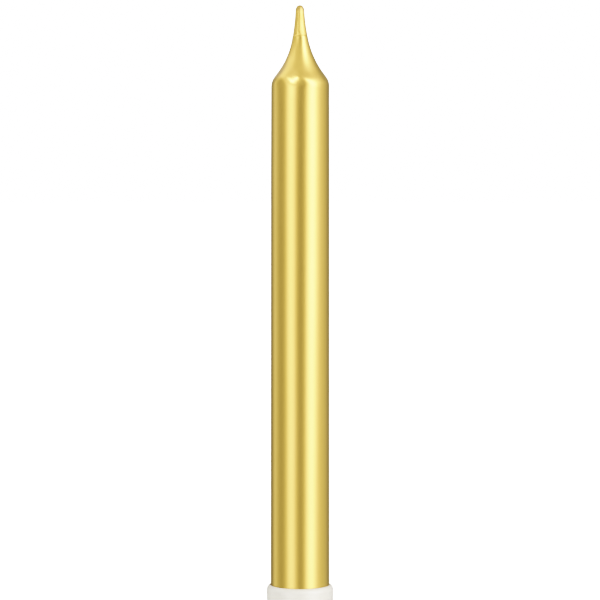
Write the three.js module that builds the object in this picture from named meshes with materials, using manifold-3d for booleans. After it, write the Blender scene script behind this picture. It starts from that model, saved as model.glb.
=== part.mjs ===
// A gold-lacquered rod candle standing in a white candlestick.
// The candlestick is a thin-walled socket cup screwed to a round foot, with a felt ring underneath.
// Millimetres, +Z up. The origin is on the candle's axis, in the plane that the felt stands on.

import * as THREE from 'three';
import { mergeVertices } from 'three/addons/utils/BufferGeometryUtils.js';
import Module from 'manifold-3d';

const wasm = await Module();
wasm.setup();

// Candle, outside
const candleDiameter = 22; // at the flat base
const candleLength = 250; // from the flat base to the tip of the wick
const exposedWickLength = 11.19; // from the top of the wax cone to the tip
const coneTopDiameter = 5.36;
const coneTopAngle = 8.2; // degrees between the wall and the axis, where the cone starts
const coneFootAngle = 39.1; // the same where the cone meets the shoulder
const shoulderRadius = 6.3;
const rodTaper = 0.21; // per side, from the base to the shoulder: dipping leaves more wax lower down
const shoulderDraft = 0.065; // per side, what the rod also loses just below the shoulder
const shoulderDraftLength = 45;

// Candle, inside
const coatThickness = 0.6; // tinted overdip with the gold lacquer on it
const coatGap = 0.1;
const wickDiameter = 1.8;
const wickGap = 0.06;

// Lacquered coat of the bare wick
const wickCoatTipDiameter = 3.2;
const wickCoatRootDiameter = 5.28;
const wickCoatTipLength = 2.3; // height of the rounded end
const wickCoatTipCover = 1.2; // coat above the end of the cotton
const wickCoatTopAngle = 3.5; // degrees between the wall and the axis, below the rounded end

// Socket cup
const socketClearance = 0.12; // per side, between candle and bore
const socketDepth = 33;
const cupWall = 1.41; // at the lip
const cupDraftAngle = 0.8; // degrees, the outside narrows downwards
const cupFloor = 6.5;
const cupBaseChamfer = 0.4;
const lipRadius = 2.5; // outside rounding, cut short by the bore
const lipInnerRadius = 0.12;

// Foot
const footDiameter = 85;
const footThickness = 5; // under the cup
const footEdgeThickness = 3.2;
const footSeatMargin = 2; // flat ring around the cup's base

// Countersunk screw, M5 with a 3 mm hexagon socket
const screwDiameter = 5;
const screwLength = 10; // head included
const screwHeadDiameter = 10;
const screwHeadRim = 0.3;
const screwKeyWidth = 3;
const screwKeyDepth = 1.9;
const screwSink = 0.2; // head below the foot's underside
const screwTipChamfer = 0.6;
const threadClearance = 0.05;
const screwHoleClearance = 0.25;
const tappedHoleSpare = 0.5;

// Felt ring
const feltThickness = 1;
const feltEdgeMargin = 4; // foot edge to felt edge
const feltHoleMargin = 3; // screw head to felt hole

// Assembly
const seatGap = 0.05; // between faces that rest on each other

// Facets
const turnSegments = 48;
const shoulderSteps = 6;
const coneSteps = 8;
const draftSteps = 3;
const hiddenShoulderSteps = 4;
const hiddenConeSteps = 5;
const wickCoatSteps = 4;
const wickTipSteps = 5;
const lipSteps = 5;
const innerLipSteps = 2;
const footEdgeSteps = 6;
const mergeDistance = 1e-4;

// Heights, from the ground up
const footBase = feltThickness + seatGap;
const footTop = footBase + footThickness;
const cupBase = footTop + seatGap;
const socketFloor = cupBase + cupFloor;
const rimHeight = socketFloor + socketDepth;
const candleBase = socketFloor + seatGap;
const candleTip = candleBase + candleLength;
const coneTop = candleTip - exposedWickLength;

// Radii
const candleRadius = candleDiameter / 2;
const wickRadius = wickDiameter / 2;
const socketRadius = candleRadius + socketClearance;
const cupLipRadius = socketRadius + cupWall;
const lipAngle = Math.acos(Math.max(0, 1 - (cupWall - lipInnerRadius) / lipRadius));
const lipHeight = lipRadius * Math.sin(lipAngle);
const cupBaseRadius = cupLipRadius
  - (cupFloor + socketDepth - lipHeight) * Math.tan(degrees(cupDraftAngle));
const footRadius = footDiameter / 2;
const screwRadius = screwDiameter / 2;
const screwHeadRadius = screwHeadDiameter / 2;

function degrees(angle) {
  return THREE.MathUtils.degToRad(angle);
}

// Points on an arc in the radius-height plane, from one angle to another, both ends included.
function arc(centreR, centreZ, radius, fromAngle, toAngle, steps) {
  const points = [];
  for (let i = 0; i <= steps; i += 1) {
    const angle = fromAngle + ((toAngle - fromAngle) * i) / steps;
    points.push([centreR + radius * Math.cos(angle), centreZ + radius * Math.sin(angle)]);
  }
  return points;
}

// A solid turned about Z from points of radius and height, which run up the outside.
function turned(points) {
  const outline = points.map(([r, z]) => new THREE.Vector2(Math.max(r, 0), z));
  const geometry = new THREE.LatheGeometry(outline, turnSegments);
  geometry.rotateX(Math.PI / 2);
  return geometry;
}

// A ring turned from an outline that doesn't touch the axis, so it closes on its first point.
function turnedRing(points) {
  return turned([...points, points[0]]);
}

function toSolid(geometry) {
  const bare = geometry.clone();
  bare.deleteAttribute('normal');
  bare.deleteAttribute('uv');
  const merged = mergeVertices(bare, mergeDistance);
  const vertProperties = Float32Array.from(merged.attributes.position.array);
  const corners = merged.index.array;
  const kept = [];
  for (let i = 0; i < corners.length; i += 3) {
    const [a, b, c] = [corners[i], corners[i + 1], corners[i + 2]];
    if (a !== b && b !== c && c !== a) kept.push(a, b, c);
  }
  const triVerts = Uint32Array.from(kept);
  return new wasm.Manifold(new wasm.Mesh({ numProp: 3, vertProperties, triVerts }));
}

function toGeometry(solid) {
  const mesh = solid.getMesh();
  const geometry = new THREE.BufferGeometry();
  geometry.setAttribute('position', new THREE.BufferAttribute(mesh.vertProperties, 3));
  geometry.setIndex(new THREE.BufferAttribute(mesh.triVerts, 1));
  geometry.computeVertexNormals();
  return geometry;
}

// The candle's outline from its base to the top of the cone, moved inwards by inset.
// The shoulder is a convex arc and the cone a concave one, and the two meet at coneFootAngle.
function candleOutline(inset, shoulderCount, coneCount) {
  const rodTopRadius = candleRadius - rodTaper - shoulderDraft;
  const topAngle = degrees(coneTopAngle);
  const footAngle = degrees(coneFootAngle);
  const coneFootRadius = rodTopRadius - shoulderRadius * (1 - Math.cos(footAngle));
  const coneRadius = (coneFootRadius - coneTopDiameter / 2) / (Math.cos(topAngle) - Math.cos(footAngle));
  const coneCentreR = coneTopDiameter / 2 + coneRadius * Math.cos(topAngle);
  const coneCentreZ = coneTop + coneRadius * Math.sin(topAngle);
  const coneFoot = coneCentreZ - coneRadius * Math.sin(footAngle);
  const shoulderFoot = coneFoot - shoulderRadius * Math.sin(footAngle);
  const points = [[candleRadius - inset, candleBase]];
  for (let i = 0; i < draftSteps; i += 1) {
    const share = i / draftSteps;
    const z = shoulderFoot - shoulderDraftLength * (1 - share);
    const taper = (rodTaper * (z - candleBase)) / (shoulderFoot - candleBase);
    points.push([candleRadius - inset - taper - shoulderDraft * share ** 2, z]);
  }
  const shoulder = arc(
    rodTopRadius - shoulderRadius, shoulderFoot, shoulderRadius - inset, 0, footAngle, shoulderCount);
  const cone = arc(
    coneCentreR, coneCentreZ, coneRadius + inset, Math.PI + footAngle, Math.PI + topAngle, coneCount);
  return [...points, ...shoulder, ...cone.slice(1)];
}

function goldCoat() {
  const outside = candleOutline(0, shoulderSteps, coneSteps);
  const inside = candleOutline(coatThickness, hiddenShoulderSteps, hiddenConeSteps);
  return turnedRing([...outside, ...inside.reverse()]);
}

function waxCore() {
  const outside = candleOutline(coatThickness + coatGap, hiddenShoulderSteps, hiddenConeSteps);
  const boreRadius = wickRadius + wickGap;
  const coreTop = outside[outside.length - 1][1];
  return turnedRing([...outside, [boreRadius, coreTop], [boreRadius, candleBase]]);
}

function wick() {
  const top = candleTip - wickCoatTipCover - wickGap;
  return turned([[0, candleBase], [wickRadius, candleBase], [wickRadius, top], [0, top]]);
}

// A slim cone with a rounded end, hollow where the cotton runs up into it.
function wickCoat() {
  const foot = coneTop + seatGap;
  const coneEnd = candleTip - wickCoatTipLength;
  const tipRadius = wickCoatTipDiameter / 2;
  const rootRadius = wickCoatRootDiameter / 2;
  const height = coneEnd - foot;
  const topSlope = Math.tan(degrees(wickCoatTopAngle));
  const flare = rootRadius - tipRadius - topSlope * height;
  const boreRadius = wickRadius + wickGap;
  const boreTop = candleTip - wickCoatTipCover;
  const points = [[0, boreTop], [boreRadius, boreTop], [boreRadius, foot]];
  for (let i = 0; i < wickCoatSteps; i += 1) {
    const down = 1 - i / wickCoatSteps;
    points.push([tipRadius + topSlope * height * down + flare * down ** 2, foot + height * (1 - down)]);
  }
  for (let i = 0; i <= wickTipSteps; i += 1) {
    const angle = (i / wickTipSteps) * (Math.PI / 2);
    points.push([tipRadius * Math.cos(angle), coneEnd + wickCoatTipLength * Math.sin(angle)]);
  }
  return turned(points);
}

// The cup's wall tapers outside, and its lip slopes off in one rounding from the bore to the outside.
function socketCup() {
  const tappedRadius = screwRadius + threadClearance;
  const tappedTop = footBase + screwSink + screwLength + tappedHoleSpare;
  const outerLip = arc(
    cupLipRadius - lipRadius, rimHeight - lipHeight, lipRadius, 0, lipAngle, lipSteps);
  const innerLip = arc(
    socketRadius + lipInnerRadius,
    rimHeight - lipInnerRadius,
    lipInnerRadius,
    Math.PI / 2,
    Math.PI,
    innerLipSteps,
  );
  return turned([
    [0, tappedTop],
    [tappedRadius, tappedTop],
    [tappedRadius, cupBase],
    [cupBaseRadius - cupBaseChamfer, cupBase],
    [cupBaseRadius, cupBase + cupBaseChamfer],
    ...outerLip,
    ...innerLip.slice(1),
    [socketRadius, socketFloor],
    [0, socketFloor],
  ]);
}

// A low disc with a half-round edge, sloping up to the cup's seat and countersunk from below.
function footPlate() {
  const edgeRadius = footEdgeThickness / 2;
  const edge = arc(
    footRadius - edgeRadius, footBase + edgeRadius, edgeRadius, -Math.PI / 2, Math.PI / 2, footEdgeSteps);
  const seatRadius = cupBaseRadius + footSeatMargin;
  const holeRadius = screwRadius + screwHoleClearance;
  const sinkRadius = screwHeadRadius + screwHoleClearance;
  const coneStart = footBase + screwSink + screwHeadRim;
  return turnedRing([
    [sinkRadius, footBase],
    ...edge,
    [seatRadius, footTop],
    [holeRadius, footTop],
    [holeRadius, coneStart + (sinkRadius - holeRadius)],
    [sinkRadius, coneStart],
  ]);
}

function cupScrew() {
  const head = footBase + screwSink;
  const neck = head + screwHeadRim + (screwHeadRadius - screwRadius);
  const tip = head + screwLength;
  const body = turned([
    [0, head],
    [screwHeadRadius, head],
    [screwHeadRadius, head + screwHeadRim],
    [screwRadius, neck],
    [screwRadius, tip - screwTipChamfer],
    [screwRadius - screwTipChamfer, tip],
    [0, tip],
  ]);
  const keyRadius = screwKeyWidth / Math.sqrt(3);
  const key = new THREE.CylinderGeometry(keyRadius, keyRadius, 2 * screwKeyDepth, 6);
  key.rotateX(Math.PI / 2);
  key.translate(0, 0, head);
  return toGeometry(toSolid(body).subtract(toSolid(key)));
}

function feltRing() {
  const outer = footRadius - feltEdgeMargin;
  const inner = screwHeadRadius + feltHoleMargin;
  return turnedRing([[inner, 0], [outer, 0], [outer, feltThickness], [inner, feltThickness]]);
}

function finish(color, roughness, metalness) {
  return new THREE.MeshStandardMaterial({ color, roughness, metalness });
}

function piece(name, geometry, material) {
  const mesh = new THREE.Mesh(geometry, material);
  mesh.name = name;
  return mesh;
}

const candle = new THREE.Group();
candle.add(
  piece('wick', wick(), finish(0xe9e1cf, 0.95, 0)),
  piece('wick_coat', wickCoat(), finish(0xd9bd66, 0.35, 0.9)),
  piece('wax_core', waxCore(), finish(0xf3ecd9, 0.55, 0)),
  piece('gold_coat', goldCoat(), finish(0xd9bd66, 0.3, 0.9)),
);

const candlestick = new THREE.Group();
candlestick.add(
  piece('socket_cup', socketCup(), finish(0xeeebe4, 0.5, 0)),
  piece('foot_plate', footPlate(), finish(0xeeebe4, 0.5, 0)),
  piece('cup_screw', cupScrew(), finish(0xb9bcbf, 0.35, 1)),
  piece('felt_ring', feltRing(), finish(0xb8b4ab, 0.95, 0)),
);

const group = new THREE.Group();
group.add(candle, candlestick);

export default group;
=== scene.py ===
import math

import bpy
import numpy as np
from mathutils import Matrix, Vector, noise


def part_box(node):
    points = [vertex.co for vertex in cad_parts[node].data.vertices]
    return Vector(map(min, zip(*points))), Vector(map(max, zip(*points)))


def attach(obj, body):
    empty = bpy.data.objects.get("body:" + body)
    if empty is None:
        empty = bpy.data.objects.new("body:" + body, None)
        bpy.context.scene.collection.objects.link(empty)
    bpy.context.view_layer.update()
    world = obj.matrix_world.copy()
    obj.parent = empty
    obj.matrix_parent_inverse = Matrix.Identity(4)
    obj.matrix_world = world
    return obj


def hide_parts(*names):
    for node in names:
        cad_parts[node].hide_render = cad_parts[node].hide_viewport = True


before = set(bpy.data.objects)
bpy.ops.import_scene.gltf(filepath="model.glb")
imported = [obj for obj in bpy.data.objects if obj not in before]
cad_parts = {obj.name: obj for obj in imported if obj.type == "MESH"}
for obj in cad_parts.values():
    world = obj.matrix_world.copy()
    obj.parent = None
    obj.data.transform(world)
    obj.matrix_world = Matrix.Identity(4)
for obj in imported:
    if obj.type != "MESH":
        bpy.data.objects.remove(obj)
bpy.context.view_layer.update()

MM = 0.001

# Sizes of the pieces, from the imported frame
candle_low, candle_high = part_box("gold_coat")
coat_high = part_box("wick_coat")[1]
cotton_low, cotton_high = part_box("wick")
cup_low, cup_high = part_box("socket_cup")
foot_low, foot_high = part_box("foot_plate")
screw_low, screw_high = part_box("cup_screw")
felt_low, felt_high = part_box("felt_ring")

CANDLE_RADIUS = candle_high.x
CANDLE_BASE = candle_low.z
SEAM = candle_high.z
TIP = coat_high.z
RIM = cup_high.z
CUP_RADIUS = cup_high.x
FOOT_RADIUS = foot_high.x
SCREW_HEAD_RADIUS = screw_high.x

# The candle's outline: a rod that thins upwards, then a convex shoulder and a concave cone
ROD_TAPER = 0.21 * MM  # per side, from the base to the shoulder
SHOULDER_DRAFT = 0.065 * MM
SHOULDER_DRAFT_LENGTH = 45 * MM
SHOULDER_RADIUS = 6.3 * MM
CONE_FOOT_ANGLE = math.radians(39.1)
CONE_TOP_ANGLE = math.radians(8.2)
CONE_TOP_RADIUS = 2.68 * MM
BASE_ROUNDING = 0.3 * MM
SKIN = 0.6 * MM  # tinted overdip with the lacquer on it
SKIN_GAP = 0.1 * MM
WICK_GAP = 0.06 * MM

# A dipped candle is neither quite straight nor quite even. By height, all in mm: how far its middle
# lies to the right of the axis, and how much thicker its last coat is.
DIPPING = (
    (45, 0.02, 0.05),
    (120, 0.03, 0.05),
    (190, 0.045, 0.05),
    (230.5, 0.08, 0.05),
    (235.2, 0.145, 0.21),
    (238.5, 0.165, 0.12),
    (241.5, 0.19, 0.08),
    (246, 0.14, 0.07),
    (251, 0.06, 0.05),
    (257, 0.0, 0.03),
    (262.6, -0.05, 0.03),
)
# The shoulder was smoothed by hand and is a little full in places: how far in mm, the azimuth and its
# half-width in degrees, the height and its half-width in mm, and the degrees it leans per mm of height
SWELLINGS = (
    (0.58, -36.8, 11.0, 236.5, 1.8, -2.9),
    (0.48, -52.6, 11.0, 236.0, 1.6, 1.6),
    (0.59, -34.4, 13.8, 239.0, 1.8, -2.6),
    (-0.30, -20.9, 20.5, 235.4, 2.4, 3.4),
    (0.54, -0.8, 11.0, 236.7, 1.4, -5.0),
)
EASING = 1.0 * MM  # how far the thick overdip ran over the bends above and below the shoulder
EASING_END = 8 * MM  # it fades over this height below the seam
UNEVENNESS = 0.008 * MM  # of the dried surface
UNEVEN_HEIGHT = 16 * MM
UNEVEN_TURN = 1.2  # more gives narrower patches round the candle
GROOVE_DEPTH = 0.1 * MM  # round the seam, where the lacquer drew back
GROOVE_WIDTH = 0.14 * MM

# The lacquered end of the wick, over a cord that is a little flat
WICK_TIP_RADIUS = 1.6 * MM
WICK_TIP_LENGTH = 2.3 * MM
WICK_TIP_FULLNESS = 0.8  # 1 is an ellipse, less is blunter
WICK_TIP_COVER = 1.2 * MM  # lacquer above the cord's end
WICK_TOP_SLOPE = math.tan(math.radians(3.5))
WICK_EDGE = math.radians(-112)  # where the cord has a blunt edge, from +X
WICK_SQUARENESS = 3.0  # 2 is round
WICK_EDGE_START = 2 * MM

# The gold lacquer's flake, and the clear film over it
FLAKE_SIZE = 0.5 * MM  # real flake is about 0.03 mm, drawn this coarse so that it shows
FLAKE_ROUGHNESS = 0.025  # more or less than the lacquer's own
CLEAR_FILM = 0.6
CLEAR_FILM_ROUGHNESS = 0.325

# The socket cup and its screw
SOCKET_CLEARANCE = 0.12 * MM
SEAT_GAP = 0.05 * MM
LIP_RADIUS = 2.2 * MM  # outside rounding, cut short by the bore
LIP_INNER_RADIUS = 0.12 * MM
CUP_DRAFT = math.tan(math.radians(0.8))
CUP_CHAMFER = 0.4 * MM
TAPPED_RADIUS = 2.55 * MM
TAPPED_SPARE = 0.5 * MM
SCREW_RADIUS = 2.5 * MM
SCREW_PITCH = 0.8 * MM
SCREW_THREAD_DEPTH = 0.61 * SCREW_PITCH
SCREW_ROWS = 8  # of points per turn of the thread
SCREW_HEAD_RIM = 0.3 * MM
SCREW_HEAD_ROUNDING = 0.12 * MM
SCREW_TIP_CHAMFER = 0.6 * MM
SCREW_KEY = 3 * MM  # across the flats
SCREW_KEY_DEPTH = 1.9 * MM

# The foot and its felt
FOOT_EDGE_RADIUS = 1.6 * MM
FOOT_SEAT_MARGIN = 2 * MM
FOOT_SEAT_ROUNDING = 1.2 * MM
FOOT_HOLE_RADIUS = 2.75 * MM
SINK_CLEARANCE = 0.25 * MM
SINK_ROUNDING = 0.1 * MM
SCREW_SINK = 0.2 * MM
FELT_HOLE_RADIUS = 8 * MM
FELT_ROUNDING = 0.3 * MM
FELT_FRAY = 0.12 * MM
FELT_FRAY_SIZE = 1.5 * MM

# The photograph's camera: level with the shoulder, looking slightly down
EYE_DISTANCE = 1.16
EYE_HEIGHT = 0.2443
AIM_HEIGHT = 0.1529
LENS_MM = 186.7
SENSOR_MM = 36

# Softboxes. Angles are in degrees: azimuth 0 is where the photograph's camera stands, with 90 on its
# right. Each is an azimuth, how far it leans per degree below the horizon, the half-widths where it is
# full and has faded, the elevations where it is full and has faded, a strength, and the share left at
# LOW_END.
SOFTBOXES = (
    (-36.8, -0.31, 0.0, 32.4, 4.6, 28.7, 1.68, 0.50),
    (49.2, 0.96, 1.1, 33.3, 36.4, 61.9, 1.90, 0.79),
    (76.6, -0.63, 0.0, 48.3, 5.6, 85.6, 0.62, 0.50),
    (-119.1, -0.50, 2.2, 31.7, 5.4, 14.9, 0.39, 1.11),
    (153.3, 0.00, 30.0, 67.4, 16.4, 22.4, 0.22, 1.00),
    (-107.3, 0.00, 47.6, 57.6, 38.5, -21.5, 0.35, 1.00),
)
LOW_END = -10.0
LEAN_END = -12.0
SOFT_EDGE = {"interpolation_type": "SMOOTHSTEP"}  # how a lamp's light fades at its edge

# The even light all round, what is left of it behind the candle, and what the ceiling adds
SURROUND = 0.375
BEHIND = 0.181
BEHIND_FROM, BEHIND_TO = 124.8, 131.0
OVERHEAD = 0.366
OVERHEAD_FROM, OVERHEAD_TO = 4.0, 40.0

# Below the horizon is the white table, which gets more light on its left
TABLE = 0.9
TABLE_SLANT = 0.7
TABLE_FROM, TABLE_TO = -15.0, -35.0

# A small lamp close to the shoulder, which goes up with the candle
SHOULDER_LAMP_AZIMUTH = -25.1
SHOULDER_LAMP_RADIUS = 23.8 * MM
SHOULDER_LAMP_HEIGHT = 245.3 * MM
SHOULDER_LAMP_SIZE = (3.1 * MM, 8.0 * MM)
SHOULDER_LAMP_POWER = 0.00041

# The film's response, from scene light as a share of FILM_WHITE to the picture: a soft toe and a
# long shoulder
FILM_WHITE = 1.5
FILM_RESPONSE = (
    (0.06667, 0.029), (0.2, 0.282), (0.3333, 0.555), (0.4667, 0.780), (0.6, 0.913), (0.8, 0.973),
)
BACKGROUND = FILM_WHITE
FLOOR_GLOW = 1.0
FLOOR_RADIUS = 4

# The part of its range that noise mostly keeps to, and the places of a colour mix's sockets on its node
GRAIN_RANGE = (0.25, 0.75)
FIRST_COLOUR, SECOND_COLOUR, MIXED_COLOUR = 6, 7, 2


def linear(hex_colour):
    """A linear RGBA colour from sRGB hex."""
    channels = [int(hex_colour[i : i + 2], 16) / 255 for i in (1, 3, 5)]
    return (*(c / 12.92 if c <= 0.04045 else ((c + 0.055) / 1.055) ** 2.4 for c in channels), 1.0)


def add(tree, kind, sockets=(), **settings):
    """Adds a node with its settings. Its sockets are given by name, or in order from the first one.

    Each gets a value, or a link from an output, or from the first output of a node.
    """
    made = tree.nodes.new(kind)
    for name, value in settings.items():
        setattr(made, name, value)
    named = sockets if isinstance(sockets, dict) else dict(enumerate(sockets))
    for name, value in named.items():
        if isinstance(value, bpy.types.Node):
            value = value.outputs[0]
        if isinstance(value, bpy.types.NodeSocket):
            tree.links.new(value, made.inputs[name])
        else:
            made.inputs[name].default_value = value
    return made


def new_material(name):
    """An empty material and its tree."""
    material = bpy.data.materials.new(name)
    material.use_nodes = True
    material.node_tree.nodes.clear()
    return material, material.node_tree


def shaded(material, sockets):
    """Gives the material its shader, with these sockets, and hands it back."""
    tree = material.node_tree
    shader = add(tree, "ShaderNodeBsdfPrincipled", sockets)
    add(tree, "ShaderNodeOutputMaterial", {"Surface": shader})
    return material


def grain(tree, size, stretch=(1, 1, 1), detail=2.0, roughness=0.5):
    """Noise whose features are about size metres across, drawn out along an axis by stretch."""
    place = add(tree, "ShaderNodeTexCoord").outputs["Object"]
    scale = [1 / (size * s) for s in stretch]
    scaled = add(tree, "ShaderNodeVectorMath", (place, scale), operation="MULTIPLY")
    return add(
        tree,
        "ShaderNodeTexNoise",
        {"Vector": scaled, "Scale": 1.0, "Detail": detail, "Roughness": roughness},
    )


def mottled(tree, pattern, light, dark, most=1.0):
    """A colour that goes with a pattern from light towards dark, and at most this share of the way.

    Both are sRGB hex, and light may also be another colour's output.
    """
    share = add(tree, "ShaderNodeMapRange", (pattern, *GRAIN_RANGE, 0.0, most))
    start = linear(light) if isinstance(light, str) else light
    colours = {"Factor": share, FIRST_COLOUR: start, SECOND_COLOUR: linear(dark)}
    return add(tree, "ShaderNodeMix", colours, data_type="RGBA").outputs[MIXED_COLOUR]


def gold_lacquer(name, light, dark, roughness, cloud_size, stretch, cloud_depth, flake_depth, end=None):
    """Metallic lacquer, dipped over wax. Fine gold flake gives a satin metal that clouds where it ran.

    The clear film over the flake makes its edges paler. end is a colour for the wick's tip, where the
    lacquer is thin and the cord shows through.
    """
    material, tree = new_material(name)
    cloud = grain(tree, cloud_size, stretch)
    flake = grain(tree, FLAKE_SIZE, detail=3.0)
    tone = mottled(tree, cloud, light, dark)
    if end:
        place = add(tree, "ShaderNodeTexCoord").outputs["Object"]
        height = add(tree, "ShaderNodeSeparateXYZ", {"Vector": place}).outputs["Z"]
        tip = (height, TIP - WICK_TIP_LENGTH, TIP - WICK_TIP_COVER, 0.0, 1.0)
        share = add(tree, "ShaderNodeMapRange", tip)
        colours = {"Factor": share, FIRST_COLOUR: tone, SECOND_COLOUR: linear(end)}
        tone = add(tree, "ShaderNodeMix", colours, data_type="RGBA").outputs[MIXED_COLOUR]
    smoothest, roughest = roughness - FLAKE_ROUGHNESS, roughness + FLAKE_ROUGHNESS
    uneven = add(tree, "ShaderNodeMapRange", (flake, *GRAIN_RANGE, smoothest, roughest))
    ripple = add(tree, "ShaderNodeBump", {"Height": cloud, "Distance": cloud_depth})
    relief = add(tree, "ShaderNodeBump", {"Height": flake, "Distance": flake_depth, "Normal": ripple})
    sockets = {
        "Base Color": tone,
        "Metallic": 1.0,
        "Specular Tint": linear("#F5F3F1"),
        "Coat Weight": CLEAR_FILM,
        "Coat Roughness": CLEAR_FILM_ROUGHNESS,
        "Coat IOR": 1.5,
        "Roughness": uneven,
        "Normal": relief,
    }
    return shaded(material, sockets)


def white_wax():
    """Paraffin wax, drawn. Light passes a few millimetres into it, so it looks soft and milky."""
    material, tree = new_material("white paraffin wax")
    cloud = grain(tree, 4 * MM, detail=3.0)
    ripple = grain(tree, 0.8 * MM)
    sockets = {
        "Base Color": mottled(tree, cloud, "#F6F0E1", "#EFE7D3"),
        "Subsurface Weight": 0.5,
        "Subsurface Radius": (4 * MM, 3 * MM, 2 * MM),
        "Subsurface Scale": 1.0,
        "IOR": 1.44,
        "Roughness": add(tree, "ShaderNodeMapRange", (cloud, *GRAIN_RANGE, 0.42, 0.6)),
        "Normal": add(tree, "ShaderNodeBump", {"Height": ripple, "Distance": 0.02 * MM}),
    }
    return shaded(material, sockets)


def cotton_braid():
    """Braided cotton, waxed. Its strands are in the mesh; the yarn in each strand is drawn here."""
    material, tree = new_material("braided cotton")
    yarn = grain(tree, 0.15 * MM, (1, 1, 4))
    sockets = {
        "Base Color": mottled(tree, yarn, "#EFE7D6", "#D2C6AE"),
        "Sheen Weight": 0.3,
        "Roughness": add(tree, "ShaderNodeMapRange", (yarn, *GRAIN_RANGE, 0.8, 0.95)),
        "Normal": add(tree, "ShaderNodeBump", {"Height": yarn, "Distance": 0.05 * MM}),
    }
    return shaded(material, sockets)


def white_powder_coat():
    """Powder coat, baked. A warm white satin skin with a very fine orange peel."""
    material, tree = new_material("white powder coat")
    peel = grain(tree, 1.1 * MM, detail=1.0)
    cloud = grain(tree, 14 * MM)
    sockets = {
        "Base Color": mottled(tree, cloud, "#E7E4DC", "#E2DFD6"),
        "IOR": 1.5,
        "Specular IOR Level": 1.0,
        "Roughness": add(tree, "ShaderNodeMapRange", (peel, *GRAIN_RANGE, 0.32, 0.4)),
        "Normal": add(tree, "ShaderNodeBump", {"Height": peel, "Distance": 0.012 * MM}),
    }
    return shaded(material, sockets)


def zinc_plated_steel():
    """Steel, cold headed and zinc plated. Bright grey, with a fine cloudy bloom."""
    material, tree = new_material("zinc plated steel")
    bloom = grain(tree, 0.9 * MM, detail=4.0)
    sockets = {
        "Base Color": mottled(tree, bloom, "#C9CCD0", "#AEB2B8"),
        "Metallic": 1.0,
        "Roughness": add(tree, "ShaderNodeMapRange", (bloom, *GRAIN_RANGE, 0.28, 0.42)),
        "Normal": add(tree, "ShaderNodeBump", {"Height": bloom, "Distance": 0.004 * MM}),
    }
    return shaded(material, sockets)


def wool_felt():
    """Wool felt, pressed. Matted fibres, dull, and uneven at the cut edge.

    A wool fibre is about 0.03 mm thick, too fine to show, so the fibres are drawn 0.25 mm thick.
    """
    material, tree = new_material("pressed wool felt")
    fibre = grain(tree, 0.25 * MM, detail=6.0, roughness=0.7)
    clump = grain(tree, 2.5 * MM, detail=3.0)
    fibres = mottled(tree, fibre, "#D9D5CC", "#BDB8AD")
    sockets = {
        "Base Color": mottled(tree, clump, fibres, "#B2ADA2", most=0.4),
        "Sheen Weight": 0.5,
        "Roughness": 0.95,
        "Normal": add(tree, "ShaderNodeBump", {"Height": fibre, "Distance": 0.15 * MM}),
    }
    return shaded(material, sockets)


def arc(centre, radius, start, end, steps, gather=1):
    """Points on an arc in the radius-height plane. gather above 1 crowds them towards its end."""
    angles = end + (start - end) * np.linspace(1, 0, steps + 1) ** gather
    return [(centre[0] + radius * math.cos(a), centre[1] + radius * math.sin(a)) for a in angles]


def softened(corners, steps=5):
    """An outline from (radius, height) corners, where a third value rounds a corner over that length."""
    points = []
    for i, (radius, height, *rounding) in enumerate(corners):
        if not rounding:
            points.append((radius, height))
            continue
        here = Vector((radius, height))
        before = Vector(corners[i - 1][:2]) - here
        after = Vector(corners[(i + 1) % len(corners)][:2]) - here
        start = here + before.normalized() * rounding[0]
        end = here + after.normalized() * rounding[0]
        for t in np.linspace(0, 1, steps + 1):
            points.append(tuple((1 - t) ** 2 * start + 2 * t * (1 - t) * here + t**2 * end))
    return points


def turned(name, profile, material, segments=192, shape=None, crease=35):
    """A closed solid turned about Z from (radius, height) points that run up the outside.

    Where the profile touches the axis it ends in a point there, and a ring closes on its first point.
    shape(radius, height, angle) gives the real surface's radius.
    """
    ring = profile[0][0] > 0
    vertices, rows = [], []
    for radius, height in profile:
        if radius <= 0:
            rows.append([len(vertices)])
            vertices.append((0.0, 0.0, height))
            continue
        rows.append(list(range(len(vertices), len(vertices) + segments)))
        for i in range(segments):
            angle = 2 * math.pi * i / segments
            real = shape(radius, height, angle) if shape else radius
            vertices.append((real * math.cos(angle), real * math.sin(angle), height))
    faces = []
    pairs = list(zip(rows, rows[1:])) + ([(rows[-1], rows[0])] if ring else [])
    for low, high in pairs:
        for i in range(segments):
            j = (i + 1) % segments
            if len(low) == 1:
                faces.append((low[0], high[j], high[i]))
            elif len(high) == 1:
                faces.append((low[i], low[j], high[0]))
            else:
                faces.append((low[i], low[j], high[j], high[i]))
    mesh = bpy.data.meshes.new(name)
    mesh.from_pydata(vertices, [], faces)
    mesh.update()
    mesh.shade_smooth()
    mesh.set_sharp_from_angle(angle=math.radians(crease))
    mesh.materials.append(material)
    made = bpy.data.objects.new(name, mesh)
    bpy.context.scene.collection.objects.link(made)
    return made


def stand_for(piece, node, body):
    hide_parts(node)
    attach(piece, body)
    return piece


def dipping(height):
    """The candle's shift to the right and its thicker coat at a height, eased from point to point."""
    height /= MM
    for (low, *first), (high, *last) in zip(DIPPING, DIPPING[1:]):
        if height <= high:
            share = max(0.0, (height - low) / (high - low))
            share *= share * (3 - 2 * share)
            return [MM * (one + (two - one) * share) for one, two in zip(first, last)]
    return [MM * value for value in DIPPING[-1][1:]]


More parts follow.
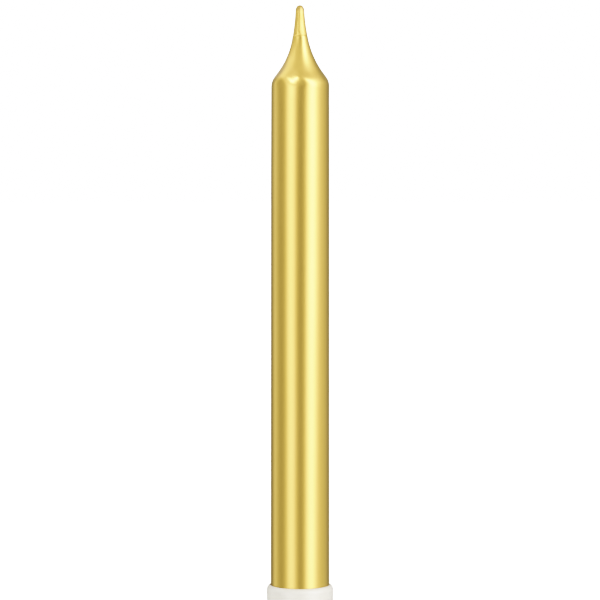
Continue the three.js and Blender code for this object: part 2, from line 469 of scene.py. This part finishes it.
def candle_outline(inset, shoulder_steps, cone_steps, rod_steps):
    """The candle's outline from its base to the seam under the wick, moved inwards by inset."""
    rod_top = CANDLE_RADIUS - ROD_TAPER - SHOULDER_DRAFT
    foot_radius = rod_top - SHOULDER_RADIUS * (1 - math.cos(CONE_FOOT_ANGLE))
    cone_radius = (foot_radius - CONE_TOP_RADIUS) / (math.cos(CONE_TOP_ANGLE) - math.cos(CONE_FOOT_ANGLE))
    cone_centre = (
        CONE_TOP_RADIUS + cone_radius * math.cos(CONE_TOP_ANGLE),
        SEAM + cone_radius * math.sin(CONE_TOP_ANGLE),
    )
    cone_foot = cone_centre[1] - cone_radius * math.sin(CONE_FOOT_ANGLE)
    shoulder_foot = cone_foot - SHOULDER_RADIUS * math.sin(CONE_FOOT_ANGLE)
    draft_foot = shoulder_foot - SHOULDER_DRAFT_LENGTH
    points = []
    for height in np.linspace(CANDLE_BASE, shoulder_foot, rod_steps, endpoint=False):
        taper = ROD_TAPER * (height - CANDLE_BASE) / (shoulder_foot - CANDLE_BASE)
        share = max(0.0, (height - draft_foot) / SHOULDER_DRAFT_LENGTH)
        points.append((CANDLE_RADIUS - inset - taper - SHOULDER_DRAFT * share**2, height))
    shoulder = arc(
        (rod_top - SHOULDER_RADIUS, shoulder_foot),
        SHOULDER_RADIUS - inset,
        0,
        CONE_FOOT_ANGLE,
        shoulder_steps,
    )
    cone = arc(
        cone_centre,
        cone_radius + inset,
        math.pi + CONE_FOOT_ANGLE,
        math.pi + CONE_TOP_ANGLE,
        cone_steps,
        gather=2,
    )
    return points + shoulder + cone[1:]


def eased(outline):
    """The outline with its bends eased: each radius is averaged with those just above and below it."""
    radii, heights = np.array(outline).T
    steps = np.linspace(-3, 3, 25)
    weights = np.exp(-0.5 * steps**2)
    weights /= weights.sum()
    points = []
    for height in heights:
        reach = EASING * min(1.0, (SEAM - height) / EASING_END)
        points.append((float(weights @ np.interp(height + reach * steps, heights, radii)), float(height)))
    return points


def swelling(height, angle):
    """How far the shoulder stands out at a place on it."""
    total = 0.0
    azimuth = math.degrees(angle) + 90
    for depth, middle, width, level, tall, lean in SWELLINGS:
        above = height / MM - level
        aside = (azimuth - middle - lean * above + 180) % 360 - 180
        total += depth * MM * math.exp(-0.5 * ((aside / width) ** 2 + (above / tall) ** 2))
    return total


def dipped(radius, height, angle):
    """The real surface's radius: as dipped and dried hanging, with swellings and a groove at the wick."""
    shift, thicker = dipping(height)
    place = Vector((math.cos(angle) * UNEVEN_TURN, math.sin(angle) * UNEVEN_TURN, height / UNEVEN_HEIGHT))
    uneven = UNEVENNESS * noise.noise(place)
    groove = GROOVE_DEPTH * math.exp(-(((height - SEAM) / GROOVE_WIDTH) ** 2))
    return radius + thicker + uneven - groove + swelling(height, angle) + shift * math.cos(angle)


def build_gold_coat(material):
    outside = eased(candle_outline(0, shoulder_steps=18, cone_steps=64, rod_steps=56))
    inside = candle_outline(SKIN, shoulder_steps=8, cone_steps=10, rod_steps=8)
    base = [(CANDLE_RADIUS - BASE_ROUNDING, CANDLE_BASE), (CANDLE_RADIUS, CANDLE_BASE + BASE_ROUNDING)]
    coat = turned("lacquered_coat", base + outside[1:] + inside[::-1], material, shape=dipped)
    return stand_for(coat, "gold_coat", "candle")


def build_wax_core(material):
    outside = candle_outline(SKIN + SKIN_GAP, shoulder_steps=8, cone_steps=10, rod_steps=8)
    bore = cotton_high.x + WICK_GAP
    outline = outside + [(bore, outside[-1][1]), (bore, CANDLE_BASE)]
    return stand_for(turned("wax_rod", outline, material), "wax_core", "candle")


def build_wick(material):
    """A cotton cord with its strands crossing in a braid."""
    strands, crossing, relief = 4, 2.4 * MM, 0.07
    row_height = 0.4 * MM

    def braided(radius, height, angle):
        climb = 2 * math.pi * height / crossing
        lobes = math.cos(strands * angle + climb) * math.cos(strands * angle - climb)
        return radius * (1 - relief + relief * lobes)

    rows = int((cotton_high.z - cotton_low.z) / row_height)
    side = [(cotton_high.x, z) for z in np.linspace(cotton_low.z, cotton_high.z, rows)]
    outline = [(0, cotton_low.z)] + side + [(0, cotton_high.z)]
    piece = turned("cotton_cord", outline, material, segments=48, shape=braided, crease=60)
    return stand_for(piece, "wick", "candle")


def build_wick_coat(material):
    """The wick's lacquered end: a slim cone over a cord with one blunt edge, rounded at the tip."""
    foot = SEAM
    cone_end = TIP - WICK_TIP_LENGTH
    root = coat_high.x
    height = cone_end - foot
    flare = root - WICK_TIP_RADIUS - WICK_TOP_SLOPE * height
    bore = cotton_high.x + WICK_GAP

    def edged(radius, z, angle):
        if radius <= bore and z < TIP - WICK_TIP_COVER + WICK_GAP:
            return radius
        power = 2 + (WICK_SQUARENESS - 2) * min(1.0, (z - foot) / WICK_EDGE_START)
        turn = (angle - WICK_EDGE + math.pi / 4) % (2 * math.pi)
        if turn < math.pi / 2:
            radius *= (math.cos(turn) ** power + math.sin(turn) ** power) ** (-1 / power)
        return dipped(radius, z, angle)

    outline = [(0, TIP - WICK_TIP_COVER), (bore, TIP - WICK_TIP_COVER), (bore, foot)]
    for climb in np.linspace(0, 1, 40, endpoint=False) ** 2:
        share = 1 - climb
        radius = WICK_TIP_RADIUS + WICK_TOP_SLOPE * height * share + flare * share**2
        outline.append((radius, foot + height * climb))
    for angle in np.linspace(0, math.pi / 2, 12, endpoint=False):
        radius = WICK_TIP_RADIUS * math.cos(angle) ** WICK_TIP_FULLNESS
        outline.append((radius, cone_end + WICK_TIP_LENGTH * math.sin(angle)))
    outline.append((0, TIP))
    piece = turned("wick_lacquer", outline, material, segments=96, shape=edged)
    return stand_for(piece, "wick_coat", "candle")


def build_socket_cup(material):
    bore = CANDLE_RADIUS + SOCKET_CLEARANCE
    lip_angle = math.acos(1 - (CUP_RADIUS - bore - LIP_INNER_RADIUS) / LIP_RADIUS)
    lip_height = LIP_RADIUS * math.sin(lip_angle)
    base_radius = CUP_RADIUS - (RIM - lip_height - cup_low.z) * CUP_DRAFT
    tapped_top = screw_high.z + TAPPED_SPARE
    floor = CANDLE_BASE - SEAT_GAP
    outline = [
        (0, tapped_top),
        (TAPPED_RADIUS, tapped_top),
        (TAPPED_RADIUS, cup_low.z),
        (base_radius - CUP_CHAMFER, cup_low.z),
        (base_radius, cup_low.z + CUP_CHAMFER),
    ]
    outline += arc((CUP_RADIUS - LIP_RADIUS, RIM - lip_height), LIP_RADIUS, 0, lip_angle, 14)
    inner_lip = (bore + LIP_INNER_RADIUS, RIM - LIP_INNER_RADIUS)
    outline += arc(inner_lip, LIP_INNER_RADIUS, math.pi / 2, math.pi, 6)[1:]
    outline += [(bore, floor), (0, floor)]
    piece = turned("socket_cup_skin", outline, material)
    return stand_for(piece, "socket_cup", "holder")


def build_foot(material):
    base_radius = CUP_RADIUS - (RIM - cup_low.z) * CUP_DRAFT
    seat = base_radius + FOOT_SEAT_MARGIN
    sink = SCREW_HEAD_RADIUS + SINK_CLEARANCE
    cone_start = foot_low.z + SCREW_SINK + SCREW_HEAD_RIM
    edge_centre = (FOOT_RADIUS - FOOT_EDGE_RADIUS, foot_low.z + FOOT_EDGE_RADIUS)
    edge = arc(edge_centre, FOOT_EDGE_RADIUS, -math.pi / 2, math.pi / 2, 20)
    hole = [
        (seat, foot_high.z, FOOT_SEAT_ROUNDING),
        (FOOT_HOLE_RADIUS, foot_high.z),
        (FOOT_HOLE_RADIUS, cone_start + sink - FOOT_HOLE_RADIUS),
        (sink, cone_start),
        (sink, foot_low.z, SINK_ROUNDING),
    ]
    piece = turned("foot_disc", softened(edge + hole), material, segments=256)
    return stand_for(piece, "foot_plate", "holder")


def build_screw(material):
    """A countersunk screw with a rolled thread and a hexagon socket in its head."""
    head = screw_low.z
    thread_start = head + SCREW_HEAD_RIM + SCREW_HEAD_RADIUS - SCREW_RADIUS
    thread_end = screw_high.z - SCREW_TIP_CHAMFER
    flat = SCREW_KEY / 2
    key_radius = SCREW_KEY / math.sqrt(3)

    def cut(radius, height, angle):
        if radius <= key_radius:
            return flat / math.cos((angle + math.pi / 6) % (math.pi / 3) - math.pi / 6)
        if radius > SCREW_RADIUS or height <= thread_start:
            return radius
        phase = (height / SCREW_PITCH - angle / (2 * math.pi)) % 1.0
        run_out = min(1.0, (height - thread_start) / SCREW_PITCH)
        return radius - SCREW_THREAD_DEPTH * run_out * abs(2 * phase - 1)

    rows = int(SCREW_ROWS * (thread_end - thread_start) / SCREW_PITCH)
    outline = [(0, head + SCREW_KEY_DEPTH), (key_radius, head + SCREW_KEY_DEPTH)]
    outline += softened(
        [
            (key_radius, head),
            (SCREW_HEAD_RADIUS, head, SCREW_HEAD_ROUNDING),
            (SCREW_HEAD_RADIUS, head + SCREW_HEAD_RIM),
        ]
    )
    outline += [(SCREW_RADIUS, z) for z in np.linspace(thread_start, thread_end, rows)]
    outline += [(SCREW_RADIUS - SCREW_TIP_CHAMFER, screw_high.z), (0, screw_high.z)]
    piece = turned("countersunk_screw", outline, material, segments=72, shape=cut)
    return stand_for(piece, "cup_screw", "holder")


def build_felt(material):
    outer = felt_high.x
    corners = [
        (FELT_HOLE_RADIUS, felt_low.z, FELT_ROUNDING),
        (outer, felt_low.z, FELT_ROUNDING),
        (outer, felt_high.z, FELT_ROUNDING),
        (FELT_HOLE_RADIUS, felt_high.z, FELT_ROUNDING),
    ]

    def frayed(radius, height, angle):
        place = Vector((math.cos(angle), math.sin(angle), 0.0)) * radius / FELT_FRAY_SIZE
        wander = FELT_FRAY * (1 + noise.noise(place))
        return radius - wander if radius > outer / 2 else radius + wander

    piece = turned("felt_pad", softened(corners), material, segments=384, shape=frayed)
    return stand_for(piece, "felt_ring", "holder")


def build_camera():
    camera = bpy.data.objects.new("camera", bpy.data.cameras.new("camera"))
    camera.data.lens = LENS_MM
    camera.data.sensor_width = SENSOR_MM
    camera.location = (0, -EYE_DISTANCE, EYE_HEIGHT)
    towards = Vector((0, EYE_DISTANCE, AIM_HEIGHT - EYE_HEIGHT))
    camera.rotation_euler = towards.to_track_quat("-Z", "Y").to_euler()
    bpy.context.scene.collection.objects.link(camera)
    bpy.context.scene.camera = camera


def add_softbox(tree, total, azimuth, elevation, below, softbox):
    """The light so far with one softbox added to it."""
    place, lean, inner, outer, full, faded, strength, left = softbox
    leaning = add(tree, "ShaderNodeMath", (below, -lean, azimuth), operation="MULTIPLY_ADD")
    offset = add(tree, "ShaderNodeMath", (leaning, place), operation="SUBTRACT")
    offset = add(tree, "ShaderNodeMath", (offset, -180.0, 180.0), operation="WRAP")
    offset = add(tree, "ShaderNodeMath", (offset,), operation="ABSOLUTE")
    across = add(tree, "ShaderNodeMapRange", (offset, inner, outer, 1.0, 0.0), **SOFT_EDGE)
    upwards = add(tree, "ShaderNodeMapRange", (elevation, full, faded, strength, 0.0), **SOFT_EDGE)
    low = add(tree, "ShaderNodeMapRange", (elevation, LOW_END, 0.0, left, 1.0))
    shape = add(tree, "ShaderNodeMath", (across, low), operation="MULTIPLY")
    return add(tree, "ShaderNodeMath", (shape, upwards, total), operation="MULTIPLY_ADD")


def build_studio():
    """A studio's large soft lamps, seen in reflections. Past the candle the camera sees plain white."""
    world = bpy.data.worlds.new("studio")
    bpy.context.scene.world = world
    world.use_nodes = True
    tree = world.node_tree
    tree.nodes.clear()
    direction = add(tree, "ShaderNodeTexCoord").outputs["Generated"]
    axes = add(tree, "ShaderNodeSeparateXYZ", {"Vector": direction}).outputs
    front = add(tree, "ShaderNodeMath", (axes["Y"], -1.0), operation="MULTIPLY")
    azimuth = add(tree, "ShaderNodeMath", (axes["X"], front), operation="ARCTAN2")
    azimuth = add(tree, "ShaderNodeMath", (azimuth,), operation="DEGREES")
    elevation = add(tree, "ShaderNodeMath", (axes["Z"],), operation="ARCSINE")
    elevation = add(tree, "ShaderNodeMath", (elevation,), operation="DEGREES")
    turn = add(tree, "ShaderNodeMath", (azimuth,), operation="ABSOLUTE")
    around = (turn, BEHIND_FROM, BEHIND_TO, SURROUND, BEHIND)
    total = add(tree, "ShaderNodeMapRange", around, **SOFT_EDGE)
    ceiling = (elevation, OVERHEAD_FROM, OVERHEAD_TO, 0.0, OVERHEAD)
    above = add(tree, "ShaderNodeMapRange", ceiling, **SOFT_EDGE)
    total = add(tree, "ShaderNodeMath", (total, above), operation="ADD")
    below = add(tree, "ShaderNodeMapRange", (elevation, LEAN_END, 0.0, LEAN_END, 0.0))
    for softbox in SOFTBOXES:
        total = add_softbox(tree, total, azimuth, elevation, below, softbox)
    table = add(tree, "ShaderNodeMath", (axes["X"], -TABLE_SLANT, TABLE), operation="MULTIPLY_ADD")
    share = add(tree, "ShaderNodeMapRange", (elevation, TABLE_FROM, TABLE_TO, 0.0, 1.0), **SOFT_EDGE)
    total = add(tree, "ShaderNodeMix", {"Factor": share, "A": total, "B": table}, data_type="FLOAT")
    seen = add(tree, "ShaderNodeLightPath").outputs["Is Camera Ray"]
    strength = add(tree, "ShaderNodeMix", {"Factor": seen, "A": total, "B": BACKGROUND}, data_type="FLOAT")
    light = add(tree, "ShaderNodeBackground", {"Color": (1.0, 1.0, 1.0, 1.0), "Strength": strength})
    add(tree, "ShaderNodeOutputWorld", {"Surface": light})


def build_shoulder_lamp():
    """A small upright panel close to the shoulder, facing the candle."""
    lamp = bpy.data.objects.new("shoulder_lamp", bpy.data.lights.new("shoulder_lamp", "AREA"))
    lamp.data.shape = "RECTANGLE"
    lamp.data.size, lamp.data.size_y = SHOULDER_LAMP_SIZE
    lamp.data.energy = SHOULDER_LAMP_POWER
    turn = math.radians(SHOULDER_LAMP_AZIMUTH)
    lamp.location = (
        SHOULDER_LAMP_RADIUS * math.sin(turn),
        -SHOULDER_LAMP_RADIUS * math.cos(turn),
        SHOULDER_LAMP_HEIGHT,
    )
    lamp.rotation_euler = (math.radians(90), 0, turn)
    lamp.visible_camera = False
    bpy.context.scene.collection.objects.link(lamp)
    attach(lamp, "candle")


def build_floor():
    """A pale seamless floor that glows faintly, so that it runs into the white background."""
    bpy.ops.mesh.primitive_circle_add(
        vertices=96, radius=FLOOR_RADIUS, fill_type="NGON", location=(0, 0, 0)
    )
    floor = bpy.context.object
    floor.name = "studio_floor"
    sockets = {
        "Base Color": linear("#E6E6E6"),
        "Roughness": 1.0,
        "Specular IOR Level": 0.0,
        "Emission Color": (1.0, 1.0, 1.0, 1.0),
        "Emission Strength": FLOOR_GLOW,
    }
    material = new_material("studio floor")[0]
    floor.data.materials.append(shaded(material, sockets))
    floor.visible_glossy = False
    floor.visible_diffuse = False


def set_film():
    view = bpy.context.scene.view_settings
    view.view_transform = "Standard"
    view.use_curve_mapping = True
    mapping = view.curve_mapping
    mapping.white_level = (FILM_WHITE,) * 3
    curve = mapping.curves[3]  # red, green and blue together
    for light, shown in FILM_RESPONSE:
        curve.points.new(light, shown)
    for point in curve.points:
        point.handle_type = "AUTO_CLAMPED"
    mapping.update()


build_camera()
build_studio()
build_shoulder_lamp()
build_floor()
set_film()

coat_gold = gold_lacquer(
    "gold metallic lacquer",
    light="#E4CB88",
    dark="#E2C984",
    roughness=0.325,
    cloud_size=5 * MM,
    stretch=(1, 1, 9),
    cloud_depth=0.006 * MM,
    flake_depth=0.002 * MM,
)
wick_gold = gold_lacquer(
    "gold lacquer on a wick",
    light="#E9D292",
    dark="#E1C781",
    roughness=0.48,
    cloud_size=1.6 * MM,
    stretch=(1, 1, 1.5),
    cloud_depth=0.012 * MM,
    flake_depth=0.001 * MM,
    end="#CBB47E",
)
coating = white_powder_coat()

build_gold_coat(coat_gold)
build_wick_coat(wick_gold)
build_wax_core(white_wax())
build_wick(cotton_braid())
build_socket_cup(coating)
build_foot(coating)
build_screw(zinc_plated_steel())
build_felt(wool_felt())
